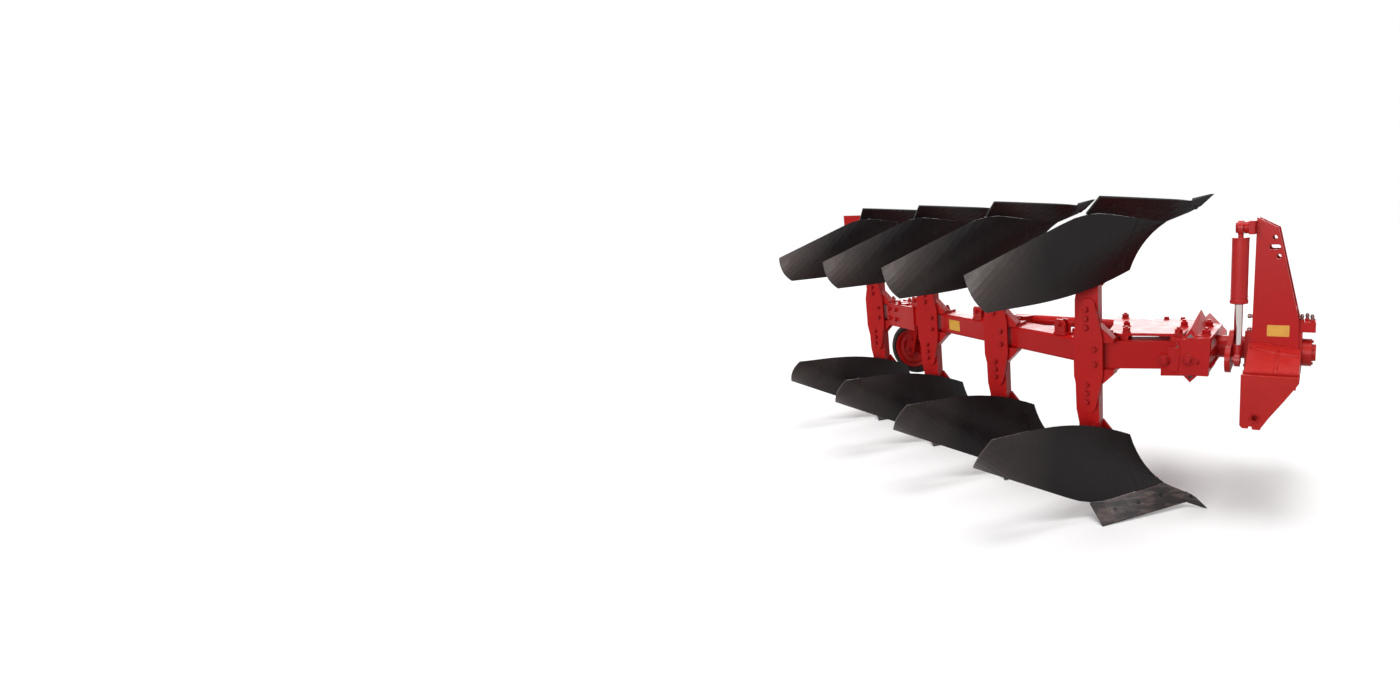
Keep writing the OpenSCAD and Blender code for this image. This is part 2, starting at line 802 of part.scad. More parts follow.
// Plates on both sides of the beam, joined over it, and the stub that carries
// the arm's pin.
module wheel_bracket() {
    y = beam_w / 2 + seat;
    z = beam_h / 2 + seat;
    red() difference() {
        union() {
            down_beam() translate([wheel_at, 0, 0]) {
                box([-170, -y - 18, 4 - beam_h / 2], [110, -y, z + 12]);
                box([-415, y, -100], [0, y + 14, z + 12]);
                for (x = [-170, -75]) box([x, -y - 18, z], [x + 60, y + 14, z + 12]);
            }
            bar_y(wheel_arm_y - wheel_out + 60, wheel_arm_y - 3, wheel_pivot_x,
                  mid_h, 50);
            bar_y(wheel_arm_y - 30, wheel_arm_y + wheel_arm_t + 3,
                  wheel_pivot_x, mid_h, wheel_pin_r);
            bar_y(wheel_arm_y + wheel_arm_t + 2, wheel_arm_y + wheel_arm_t + 11,
                  wheel_pivot_x, mid_h, 44);
        }
        down_beam() box([wheel_at - 400, -y, -z], [wheel_at + 400, y, z]);
    }
}

module wheel_arm() {
    y0 = wheel_arm_y;
    y1 = wheel_arm_y + wheel_arm_t;
    red() difference() {
        union() {
            bar_y(y0, y1, wheel_pivot_x, mid_h, 58);
            bar_y(y0, y1, wheel_x, wheel_z, 46);
            translate([wheel_pivot_x, 0, mid_h]) rotate([0, 180 - wheel_drop, 0])
                mirror([0, 0, 1])
                box([4, y0 + 2, -41], [wheel_arm_l - 7, y1 - 2, 41]);
        }
        bar_y(y0 - 1, y1 + 1, wheel_pivot_x, mid_h, wheel_pin_r + run_gap);
    }
    red() bar_y(y1 - 1, wheel_y + tyre_w / 2 - 10, wheel_x, wheel_z, axle_r);
    red() bar_y(wheel_y + tyre_w / 2 - 13, wheel_y + tyre_w / 2 - 2, wheel_x,
                wheel_z, 34);
}

module wheel_rim() {
    h = tyre_w / 2;
    red() translate([wheel_x, wheel_y, wheel_z]) rotate([90, 0, 0])
        rotate_extrude() {
            translate([axle_r + run_gap, -h + 16]) square([24, tyre_w - 32]);
            polygon([[axle_r + 20, 14], [axle_r + 50, 14], [105, 32],
                     [rim_r - 10, 30], [rim_r - 10, 40], [101, 42],
                     [axle_r + 46, 24], [axle_r + 20, 24]]);
            polygon([[rim_r - 11, -h + 22], [rim_r + 12, -h + 6],
                     [rim_r + 20, -h + 12], [rim_r, -h + 28],
                     [rim_r, h - 28], [rim_r + 20, h - 12],
                     [rim_r + 12, h - 6], [rim_r - 11, h - 22]]);
        }
}

module wheel_tyre() {
    r0 = rim_r + seat;
    h = tyre_w / 2;
    black() translate([wheel_x, wheel_y, wheel_z]) rotate([90, 0, 0])
        rotate_extrude()
            polygon([[r0, -h + 29], [rim_r + 21, -h + 12.5], [rim_r + 26, -h + 2],
                     [wheel_r - 38, -h], [wheel_r - 18, -h + 8],
                     [wheel_r - 5, -h + 24], [wheel_r, -h + 48],
                     [wheel_r, h - 48], [wheel_r - 5, h - 24],
                     [wheel_r - 18, h - 8], [wheel_r - 38, h],
                     [rim_r + 26, h - 2], [rim_r + 21, h - 12.5],
                     [r0, h - 29]]);
}

// --- nodes ---

placed() headstock_housing();
placed() front_hub();
placed() hydraulic_block();
placed() mast_plates();
placed() mast_webs();
placed() cylinder_bracket();
placed() hitch_arm(-1);  // hitch_arm_right
placed() hitch_arm(1);  // hitch_arm_left
placed() hitch_clevis(-1);  // hitch_clevis_right
placed() hitch_clevis(1);  // hitch_clevis_left
placed() turnover_shaft();
placed() turnover_crank();
placed() cross_tube();
placed() head_plate();
placed() head_saddle();
placed() front_arm();
placed() top_strap();
placed() main_beam();
placed() brace();
placed() legs(0);  // leg_1
placed() legs(1);  // leg_2
placed() legs(2);  // leg_3
placed() legs(3);  // leg_4
placed() leg_clamps();
placed() each_body(false) frog();  // frogs_lower
placed() each_body(true) frog();  // frogs_upper
placed() at_body(0, false) mouldboard();  // mouldboard_lower_1
placed() at_body(1, false) mouldboard();  // mouldboard_lower_2
placed() at_body(2, false) mouldboard();  // mouldboard_lower_3
placed() at_body(3, false) mouldboard();  // mouldboard_lower_4
placed() at_body(0, true) mouldboard();  // mouldboard_upper_1
placed() at_body(1, true) mouldboard();  // mouldboard_upper_2
placed() at_body(2, true) mouldboard();  // mouldboard_upper_3
placed() at_body(3, true) mouldboard();  // mouldboard_upper_4
placed() each_body(false) shin();  // shins_lower
placed() each_body(true) shin();  // shins_upper
placed() each_body(false) share_plate();  // shares_lower
placed() each_body(true) share_plate();  // shares_upper
placed() each_body(false) point();  // points_lower
placed() each_body(true) point();  // points_upper
placed() landsides(false);  // landsides_lower
placed() landsides(true);  // landsides_upper
placed() wheel_bracket();
placed() wheel_arm();
placed() wheel_rim();
placed() wheel_tyre();
placed() cylinder_barrel();
placed() cylinder_rod();
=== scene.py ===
import math
import random

import bmesh
import bpy
from mathutils import Matrix, Vector


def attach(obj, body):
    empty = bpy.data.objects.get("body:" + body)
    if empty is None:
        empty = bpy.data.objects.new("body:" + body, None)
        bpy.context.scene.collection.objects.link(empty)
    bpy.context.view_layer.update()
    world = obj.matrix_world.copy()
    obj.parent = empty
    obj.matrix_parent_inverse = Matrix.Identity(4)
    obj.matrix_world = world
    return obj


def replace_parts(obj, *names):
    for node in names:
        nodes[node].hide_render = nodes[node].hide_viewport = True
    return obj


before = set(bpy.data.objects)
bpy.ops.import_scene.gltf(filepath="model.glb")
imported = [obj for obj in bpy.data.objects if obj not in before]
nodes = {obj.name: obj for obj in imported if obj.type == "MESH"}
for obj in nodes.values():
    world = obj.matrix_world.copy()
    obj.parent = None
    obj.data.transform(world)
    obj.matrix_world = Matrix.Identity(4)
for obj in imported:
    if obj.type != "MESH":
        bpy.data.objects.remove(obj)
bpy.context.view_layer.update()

scene = bpy.context.scene
random.seed(7)

# Layout: metres, X ahead of the first nose, Y left of the first landside, and
# Z over the turnover axis.
AXIS_HEIGHT = 0.825
CENTRE = Vector((-1.38719, 0.446349, -AXIS_HEIGHT))
AXIS_Y = 0.340
BODIES = 4
FURROW = 0.405
SPACING = 0.845
STEP = math.sqrt(SPACING ** 2 - FURROW ** 2)
BEAM_ANGLE = math.asin(FURROW / SPACING)
BEAM_START = -0.495
TAIL_REACH = 1.05


def at(x, y, z):
    """A layout point in the row frame."""
    return Vector((x, y, z)) - CENTRE


# ---------------------------------------------------------------- camera

CAMERA_AT = at(0.499, -3.4791, 0.745)
LENS, SENSOR_WIDTH, SHIFT_X = 17.49, 36.0, -0.25
LOOK = Vector((-0.3634, 0.9109, -0.1954)).normalized()
ROLL = math.radians(1.41)


def make_camera():
    data = bpy.data.cameras.new("camera")
    data.lens = LENS
    data.sensor_width = SENSOR_WIDTH
    data.sensor_fit = "HORIZONTAL"
    data.shift_x = SHIFT_X
    data.clip_start = 0.05
    data.clip_end = 200.0
    level = LOOK.cross(Vector((0, 0, 1))).normalized()
    down = LOOK.cross(level).normalized()
    right = math.cos(ROLL) * level + math.sin(ROLL) * down
    up = math.sin(ROLL) * level - math.cos(ROLL) * down
    m = Matrix((right, up, -LOOK)).transposed().to_4x4()
    m.translation = CAMERA_AT
    cam = bpy.data.objects.new("camera", data)
    cam.matrix_world = m
    scene.collection.objects.link(cam)
    scene.camera = cam


make_camera()
scene.view_settings.view_transform = "Standard"

# ---------------------------------------------------------------- materials


class Tree:
    """Short calls for building one material's nodes."""

    def __init__(self, name):
        self.mat = bpy.data.materials.new(name)
        self.mat.use_nodes = True
        self.t = self.mat.node_tree
        self.t.nodes.clear()
        self.out = self.add("ShaderNodeOutputMaterial")
        self.coord = self.add("ShaderNodeTexCoord").outputs["Object"]

    def add(self, kind, **values):
        n = self.t.nodes.new(kind)
        for k, v in values.items():
            setattr(n, k, v)
        return n

    def link(self, a, b):
        self.t.links.new(a, b)

    def noise(self, scale, detail=4.0, rough=0.55, stretch=None, seed=0.0):
        n = self.add("ShaderNodeTexNoise")
        n.inputs["Scale"].default_value = scale
        n.inputs["Detail"].default_value = detail
        n.inputs["Roughness"].default_value = rough
        src = self.coord
        if stretch is not None or seed:
            m = self.add("ShaderNodeMapping")
            m.inputs["Scale"].default_value = stretch or (1, 1, 1)
            m.inputs["Location"].default_value = (seed, seed * 0.7, -seed)
            self.link(src, m.inputs["Vector"])
            src = m.outputs["Vector"]
        self.link(src, n.inputs["Vector"])
        return n.outputs["Fac"]

    def ramp(self, fac, low, high, a=0.0, b=1.0):
        n = self.add("ShaderNodeMapRange")
        n.inputs["From Min"].default_value = low
        n.inputs["From Max"].default_value = high
        n.inputs["To Min"].default_value = a
        n.inputs["To Max"].default_value = b
        self.link(fac, n.inputs["Value"])
        return n.outputs["Result"]

    def math(self, op, a, b=None):
        n = self.add("ShaderNodeMath", operation=op)
        for i, v in enumerate((a, b)):
            if v is None:
                continue
            if isinstance(v, (int, float)):
                n.inputs[i].default_value = v
            else:
                self.link(v, n.inputs[i])
        return n.outputs[0]

    def mix(self, fac, a, b):
        n = self.add("ShaderNodeMix", data_type="RGBA")
        for i, v in ((0, fac), (6, a), (7, b)):
            sock = n.inputs[i]
            if isinstance(v, (int, float)):
                sock.default_value = v
            elif isinstance(v, tuple):
                sock.default_value = (*v, 1.0)
            else:
                self.link(v, sock)
        return n.outputs[2]

    def bump(self, height, strength, distance, normal=None):
        n = self.add("ShaderNodeBump")
        n.inputs["Strength"].default_value = strength
        n.inputs["Distance"].default_value = distance
        self.link(height, n.inputs["Height"])
        if normal is not None:
            self.link(normal, n.inputs["Normal"])
        return n.outputs["Normal"]

    def soft_edges(self, radius):
        """A rounded normal, and how sharply the surface turns nearby."""
        b = self.add("ShaderNodeBevel", samples=4)
        b.inputs["Radius"].default_value = radius
        g = self.add("ShaderNodeNewGeometry")
        d = self.add("ShaderNodeVectorMath", operation="DOT_PRODUCT")
        self.link(b.outputs["Normal"], d.inputs[0])
        self.link(g.outputs["Normal"], d.inputs[1])
        return b.outputs["Normal"], self.ramp(d.outputs["Value"], 0.999, 0.90)

    def along(self, axis, low, high):
        """A value that runs from 0 to 1 as one coordinate goes low to high."""
        s = self.add("ShaderNodeSeparateXYZ")
        self.link(self.coord, s.inputs[0])
        return self.ramp(s.outputs[axis], low, high)

    def shader(self, **values):
        p = self.add("ShaderNodeBsdfPrincipled")
        for k, v in values.items():
            sock = p.inputs[k.replace("_", " ")]
            if isinstance(v, (int, float)):
                sock.default_value = v
            elif isinstance(v, tuple):
                sock.default_value = (*v, 1.0)
            else:
                self.link(v, sock)
        self.link(p.outputs[0], self.out.inputs["Surface"])
        return self.mat


# length along X of the painted sheen, reflected light painted lighter at each
# mouldboard's tail
SHEEN_LENGTH = 0.34
ROD_PAINT_TOP = AXIS_HEIGHT + 0.045
EDGE_LIGHT = (214, 84, 76)


def lin(r, g, b):
    """A colour given in 0-255 display values, as linear light."""
    def one(v):
        v /= 255.0
        return v / 12.92 if v <= 0.04045 else ((v + 0.055) / 1.055) ** 2.4
    return (one(r), one(g), one(b))


def paint(name, base, light, dark, rough=(0.28, 0.42), edge=None, peel=0.05,
          coat=0.05, level=0.13, wear=0.5, sheen_tail=None):
    """Sprayed paint: cloudy tone, orange peel, thin paint on the edges.

    A sheen_tail is the row-frame X of a mouldboard's tail. Towards it the
    paint is lighter: a painted sheen that stands in for reflected light.
    """
    t = Tree(name)
    normal, worn = t.soft_edges(0.003)
    cloud = t.noise(2.2, 5, 0.6)
    fine = t.noise(38.0, 3, 0.5, seed=3.1)
    col = t.mix(t.ramp(cloud, 0.35, 0.7), base, light)
    col = t.mix(t.ramp(fine, 0.55, 0.8, 0.0, 0.35), col, dark)
    if edge is not None:
        chips = t.math("MULTIPLY", worn,
                       t.ramp(t.noise(90, 4, 0.7), 0.42, 0.6))
        col = t.mix(t.math("MULTIPLY", chips, wear), col, edge)
    # painted sheen: the colour grows lighter towards the mouldboard's tail,
    # painted in for reflected light
    if sheen_tail is not None:
        lighten = t.math("MULTIPLY", t.along("X", sheen_tail + SHEEN_LENGTH, sheen_tail),
                     t.ramp(t.noise(5.0, 5, 0.6, seed=2.2),
                            0.25, 0.65, 0.3, 0.62))
        col = t.mix(lighten, col, lin(104, 92, 89))
    ro = t.ramp(t.noise(9.0, 4, 0.6, seed=7.7), 0.3, 0.7, *rough)
    n = t.bump(t.noise(420.0, 2, 0.5), peel, 0.0006, normal)
    n = t.bump(t.noise(26.0, 3, 0.5, seed=1.3), 0.04, 0.002, n)
    return t.shader(Base_Color=col, Roughness=ro, Normal=n, Coat_Weight=coat,
                    Coat_Roughness=0.12, Specular_IOR_Level=level)


def steel(name, base, rough):
    """Bare or plated steel with fine upright streaks."""
    t = Tree(name)
    normal = t.soft_edges(0.0015)[0]
    streak = t.noise(60.0, 4, 0.6, stretch=(1, 1, 0.06))
    col = t.mix(t.ramp(streak, 0.3, 0.7), base, tuple(c * 0.82 for c in base))
    ro = t.ramp(t.noise(14, 4, 0.6), 0.3, 0.7, rough * 0.8, rough * 1.3)
    n = t.bump(streak, 0.03, 0.0004, normal)
    return t.shader(Base_Color=col, Roughness=ro, Normal=n, Metallic=1.0)


def piston_rod():
    """Chromed rod, with red paint on its eye below the rod's neck."""
    t = Tree("piston_rod")
    normal, worn = t.soft_edges(0.0015)
    eye = t.along("Z", ROD_PAINT_TOP + 0.002, ROD_PAINT_TOP)
    streak = t.noise(60.0, 4, 0.6, stretch=(1, 1, 0.06))
    chrome = t.mix(t.ramp(streak, 0.3, 0.7), lin(215, 205, 203),
                   lin(196, 187, 185))
    red = t.mix(t.ramp(t.noise(9.0, 4), 0.35, 0.7), lin(178, 24, 24),
                lin(164, 16, 17))
    red = t.mix(t.math("MULTIPLY", worn, 0.4), red, lin(*EDGE_LIGHT))
    n = t.bump(streak, 0.03, 0.0004, normal)
    return t.shader(Base_Color=t.mix(eye, chrome, red),
                    Roughness=t.ramp(eye, 0, 1, 0.12, 0.38),
                    Metallic=t.ramp(eye, 0, 1, 1.0, 0.0), Normal=n)


def share_steel():
    """Black paint on the share, scuffed to brown steel towards its edge."""
    t = Tree("share_paint")
    normal, worn = t.soft_edges(0.003)
    streak = t.noise(16.0, 6, 0.7, stretch=(0.35, 0.5, 2.0))
    lighten = t.ramp(streak, 0.46, 0.64, 0.0, 0.55)
    col = t.mix(t.ramp(t.noise(3.0, 4), 0.35, 0.7), lin(27, 23, 24),
                lin(36, 31, 32))
    col = t.mix(lighten, col, lin(112, 94, 90))
    col = t.mix(t.math("MULTIPLY", worn, 0.35), col, lin(120, 104, 98))
    ro = t.ramp(streak, 0.3, 0.7, 0.5, 0.36)
    n = t.bump(t.noise(300.0, 3, 0.6), 0.06, 0.0006, normal)
    n = t.bump(streak, 0.05, 0.001, n)
    return t.shader(Base_Color=col, Roughness=ro, Normal=n,
                    Specular_IOR_Level=0.3)


def rubber():
    """Tyre rubber with dusty flanks."""
    t = Tree("tyre_rubber")
    normal, worn = t.soft_edges(0.002)
    dust = t.ramp(t.noise(7.0, 5, 0.65), 0.42, 0.75, 0.0, 0.45)
    col = t.mix(t.ramp(t.noise(30, 3), 0.3, 0.7), lin(27, 24, 24),
                lin(36, 32, 32))
    col = t.mix(dust, col, lin(74, 62, 58))
    col = t.mix(t.math("MULTIPLY", worn, 0.25), col, lin(80, 72, 70))
    n = t.bump(t.noise(240.0, 3, 0.6), 0.12, 0.0008, normal)
    return t.shader(Base_Color=col, Roughness=0.72, Normal=n,
                    Specular_IOR_Level=0.3)


def sticker():
    """Blank yellow film, a little faded and lifted at its edges."""
    t = Tree("sticker_film")
    normal, worn = t.soft_edges(0.001)
    col = t.mix(t.ramp(t.noise(24, 4), 0.35, 0.7), lin(226, 172, 52),
                lin(214, 156, 40))
    col = t.mix(t.math("MULTIPLY", worn, 0.6), col, lin(150, 104, 40))
    n = t.bump(t.noise(60, 3), 0.1, 0.0004, normal)
    return t.shader(Base_Color=col, Roughness=0.42, Normal=n)


RED = paint("red_paint", lin(178, 19, 19), lin(186, 24, 23), lin(158, 13, 14),
            edge=lin(*EDGE_LIGHT), wear=0.4)
CAST = paint("cast_red_paint", lin(176, 30, 28), lin(188, 40, 36),
             lin(150, 20, 20), rough=(0.3, 0.46), edge=lin(222, 100, 88),
             peel=0.35, wear=0.5)
CYL_RED = paint("cylinder_paint", lin(186, 42, 42), lin(194, 52, 50),
                lin(166, 32, 33), edge=lin(220, 110, 104), wear=0.4)
BOLT_RED = paint("bolt_paint", lin(164, 17, 19), lin(174, 22, 24),
                 lin(142, 11, 13), edge=lin(205, 80, 76), wear=0.4)
BLACK_LOOK = dict(base=lin(16, 12, 13), light=lin(26, 21, 22),
                  dark=lin(10, 8, 9), rough=(0.32, 0.42), edge=lin(44, 38, 37),
                  coat=0.0, level=0.24, peel=0.0, wear=0.08)
BLACK = paint("black_paint", **BLACK_LOOK)
# Each mouldboard gets a painted sheen, reflected light painted lighter,
# towards its own tail.
BOARDS = [paint("board_paint_%d" % (i + 1),
                sheen_tail=-CENTRE.x - TAIL_REACH - i * STEP, **BLACK_LOOK)
          for i in range(BODIES)]
SHARE = share_steel()
CHROME = piston_rod()
ZINC = steel("zinc_plate", lin(120, 92, 90), 0.28)
TYRE = rubber()
STICKER = sticker()
SEAL = paint("seal_rubber", lin(30, 28, 28), lin(38, 35, 35), lin(22, 20, 20),
             rough=(0.5, 0.7), coat=0.0)

BY_SLOT = {"frame_red": RED, "body_black": BLACK, "rod_chrome": CHROME,
           "tyre": TYRE}
BY_NODE = {"headstock_housing": CAST, "hitch_arm_right": CAST,
           "hitch_arm_left": CAST, "hitch_clevis_right": CAST,
           "hitch_clevis_left": CAST, "front_hub": CAST,
           "turnover_crank": CAST, "cylinder_barrel": CYL_RED,
           "shares_lower": SHARE, "points_lower": SHARE}

for i, board in enumerate(BOARDS):
    BY_NODE["mouldboard_lower_%d" % (i + 1)] = board
    BY_NODE["mouldboard_upper_%d" % (i + 1)] = board

for name, ob in nodes.items():
    for s in ob.material_slots:
        was = s.material.name if s.material else ""
        by_slot = next((m for k, m in BY_SLOT.items() if was.startswith(k)),
                       RED)
        special = BY_NODE.get(name)
        s.material = special if special and by_slot is not CHROME else by_slot

# ---------------------------------------------------------------- shapes


def frame_at(point, normal):
    """A matrix that stands local Z on the normal at a row-frame point."""
    z = Vector(normal).normalized()
    x = Vector((0, 0, 1)).cross(z)
    if x.length < 0.1:
        x = Vector((0, 1, 0)).cross(z)
    x.normalize()
    m = Matrix((x, z.cross(x), z)).transposed().to_4x4()
    m.translation = point
    return m


def lathe(profile, sides=24):
    """A solid turned about local Z from [radius, height] points, closed."""
    bm = bmesh.new()
    rings = []
    for r, h in profile:
        if r < 1e-6:
            rings.append([bm.verts.new((0, 0, h))])
        else:
            rings.append([bm.verts.new((r * math.cos(2 * math.pi * k / sides),
                                        r * math.sin(2 * math.pi * k / sides),
                                        h)) for k in range(sides)])
    for a, b in zip(rings, rings[1:] + rings[:1]):
        if len(a) == 1 and len(b) == 1:
            continue
        for k in range(sides):
            j = (k + 1) % sides
            if len(a) == 1:
                bm.faces.new((a[0], b[k], b[j]))
            elif len(b) == 1:
                bm.faces.new((a[k], a[j], b[0]))
            else:
                bm.faces.new((a[k], a[j], b[j], b[k]))
    bmesh.ops.recalc_face_normals(bm, faces=bm.faces)
    return bm


SHARP = math.radians(30)
WELD_PITCH = 0.004


def round_edges(bm, width, segments=2):
    """Bevel every edge that turns by more than SHARP."""
    edges = [e for e in bm.edges if len(e.link_faces) == 2
             and e.calc_face_angle(0) > SHARP]
    bmesh.ops.bevel(bm, geom=edges, offset=width, segments=segments,
                    profile=0.5, affect="EDGES", clamp_overlap=True)
    return bm


def prism(outline, height, bevel=0.0, low=0.0):
    """An outline in local XY, raised along local Z."""
    bm = bmesh.new()
    a = [bm.verts.new((x, y, low)) for x, y in outline]
    b = [bm.verts.new((x, y, low + height)) for x, y in outline]
    bm.faces.new(a)
    bm.faces.new(list(reversed(b)))
    for k in range(len(outline)):
        j = (k + 1) % len(outline)
        bm.faces.new((a[k], b[k], b[j], a[j]))
    bmesh.ops.recalc_face_normals(bm, faces=bm.faces)
    return round_edges(bm, bevel) if bevel else bm


def rect(w, h, r=0.0):
    """A rectangle outline, centred, its corners rounded by r."""
    w, h = w / 2, h / 2
    if not r:
        return [(-w, -h), (w, -h), (w, h), (-w, h)]
    pts = []
    for cx, cy, a0 in ((w - r, h - r, 0), (r - w, h - r, 90),
                       (r - w, r - h, 180), (w - r, r - h, 270)):
        for k in range(5):
            a = math.radians(a0 + k * 22.5)
            pts.append((cx + r * math.cos(a), cy + r * math.sin(a)))
    return pts


def turn(n, close=False):
    """Angles of n even steps round a circle, closed by the first again."""
    return [2 * math.pi * k / n for k in range(n + (1 if close else 0))]


def tube(points, radius, sides=8, ripple=0.0):
    """A round bar through points. A ripple makes it a weld bead."""
    pts = [Vector(p) for p in points]
    line = [pts[0]]
    for a, b in zip(pts, pts[1:]):
        n = max(1, int((b - a).length / WELD_PITCH)) if ripple else 1
        line += [a.lerp(b, (k + 1) / n) for k in range(n)]
    bm = bmesh.new()
    rings = []
    side = None
    for i, p in enumerate(line):
        d = line[min(i + 1, len(line) - 1)] - line[max(i - 1, 0)]
        d.normalize()
        if side is None:
            side = d.orthogonal().normalized()
        side = (side - d * side.dot(d)).normalized()
        up = d.cross(side)
        r = radius
        if ripple:
            r *= (1 + ripple * math.sin(i * 1.7)
                  + ripple * random.uniform(-1, 1))
            if i in (0, len(line) - 1):
                r *= 0.4
        rings.append([bm.verts.new(p + r * (math.cos(a) * side
                                            + math.sin(a) * up))
                      for a in turn(sides)])
    for a, b in zip(rings, rings[1:]):
        for k in range(sides):
            j = (k + 1) % sides
            bm.faces.new((a[k], a[j], b[j], b[k]))
    bm.faces.new(list(reversed(rings[0])))
    bm.faces.new(rings[-1])
    bmesh.ops.recalc_face_normals(bm, faces=bm.faces)
    return bm


def hex_head(across, height, low=0.0):
    """A hexagon head or nut, its top corners turned off."""
    r = across / math.sqrt(3)
    bm = bmesh.new()
    levels = ((r, low), (r, low + height * 0.8), (across * 0.47, low + height))
    rings = [[bm.verts.new((q * math.cos(math.pi * k / 3),
                            q * math.sin(math.pi * k / 3), h))
              for k in range(6)] for q, h in levels]
    bm.faces.new(rings[0])
    bm.faces.new(list(reversed(rings[-1])))
    for a, b in zip(rings, rings[1:]):
        for k in range(6):
            j = (k + 1) % 6
            bm.faces.new((a[k], b[k], b[j], a[j]))
    bmesh.ops.recalc_face_normals(bm, faces=bm.faces)
    return round_edges(bm, across * 0.02, 1)


WASHER_T = 0.004


class Piece:
    """Shapes of one material that ride on one body, joined into one object."""

    def __init__(self, name, body, material, slot):
        self.name, self.body, self.slot = name, body, slot
        self.material = material
        self.bm = bmesh.new()

    def add(self, shape, matrix=None, smooth=False):
        if matrix is not None:
            shape.transform(matrix)
        for f in shape.faces:
            f.smooth = smooth
        me = bpy.data.meshes.new("part")
        shape.to_mesh(me)
        shape.free()
        self.bm.from_mesh(me)
        bpy.data.meshes.remove(me)

    def bolt(self, m, across=0.030, washer=True, stud=0.0):
        """A hexagon head on its washer, and a stud's end past a nut."""
        low = 0.0
        if washer:
            low = WASHER_T
            self.add(lathe([(0, -0.001), (across * 0.72, -0.001),
                            (across * 0.72, 0.003), (across * 0.68, low),
                            (0, low)], 20), m)
        self.add(hex_head(across, across * 0.58, low),
                 m @ Matrix.Rotation(random.uniform(0, 1), 4, "Z"))
        if stud:
            r = across * 0.3
            top = low + across * 0.58
            self.add(lathe([(0, top - 0.001), (r, top - 0.001),
                            (r, top + stud - 0.002), (r * 0.8, top + stud),
                            (0, top + stud)], 12), m)

    def done(self):
        me = bpy.data.meshes.new(self.name)
        self.bm.to_mesh(me)
        self.bm.free()
        me.materials.append(self.material)
        ob = bpy.data.objects.new(self.name, me)
        scene.collection.objects.link(ob)
        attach(ob, self.body)
        return ob


def hit(node, origin, direction):
    """The first point of a CAD node along a row-frame ray, and its normal.

    A miss is printed, and gives the ray's start.
    """
    ok, p, n, _ = nodes[node].ray_cast(origin, Vector(direction).normalized())
    if not ok:
        print("missed", node, tuple(round(c, 3) for c in origin))
        return origin, Vector(direction) * -1
    return p, n


AHEAD = Vector((1, 0, 0))
NEAR = Vector((0, -1, 0))
UP = Vector((0, 0, 1))


def body_matrix(i, upper):
    """From the first body's layout, with Z over the axis, to body i's."""
    m = Matrix.Translation((-i * STEP, i * FURROW, 0)) if i else Matrix()
    if upper:
        m = m @ Matrix.Scale(-1, 4, UP)
    return Matrix.Translation(-CENTRE) @ m


def on_body(i, upper, x, y, z, normal):
    """A matrix on body i at a layout point with a normal."""
    m = body_matrix(i, upper)
    n = Vector((normal[0], normal[1], -normal[2] if upper else normal[2]))
    return frame_at(m @ Vector((x, y, z)), n)


def beam_point(along, left, up):
    """A row-frame point along the beam from the first crossing."""
    c, s = math.cos(BEAM_ANGLE), math.sin(BEAM_ANGLE)
    return at(BEAM_START - along * c + left * s, along * s + left * c, up)


# ---------------------------------------------------------------- bodies

frame_bolts = Piece("frame_bolts", "frame", BOLT_RED, "frame_red")
frame_welds = Piece("frame_welds", "frame", RED, "frame_red")
plough_bolts = Piece("plough_bolts", "frame", BLACK, "body_black")
landside_bolts = Piece("landside_bolts", "frame", BOLT_RED, "frame_red")


def flush_head(r):
    """A countersunk plough bolt's head, nearly level with its plate."""
    return lathe([(0, -0.002), (r, -0.002), (r, 0.0006), (r * 0.93, 0.0014),
                  (r * 0.55, 0.0016), (r * 0.5, 0.0008), (0, 0.0008)], 20)


WELD_RIPPLE = 0.16
RING_RIPPLE = 0.14
BEAM_HALF = 0.067
ARM_HALF = 0.073
# faces on one body: cheek plate, both sides of the shank, clamp plate over the
# beam, and the landside's height and back
LEG_FACE = -0.120
SHANK_NEAR, SHANK_FAR = -0.0997, -0.0143
CLAMP_OVER = 0.0153
LANDSIDE_Z, LANDSIDE_BACK = -0.725, -0.0303
LEG_BOLT, CLAMP_BOLT, LANDSIDE_NUT = 0.026, 0.032, 0.022
SHARE_HEAD, POINT_HEAD, BOARD_HEAD, LANDSIDE_HEAD = 0.012, 0.012, 0.011, 0.013

LEG_PLATE_EDGE = [(-0.702, 0.125), (-0.668, 0.285), (-0.655, 0.300),
                  (-0.638, 0.308), (-0.615, 0.308), (-0.598, 0.300),
                  (-0.587, 0.285), (-0.549, 0.115)]

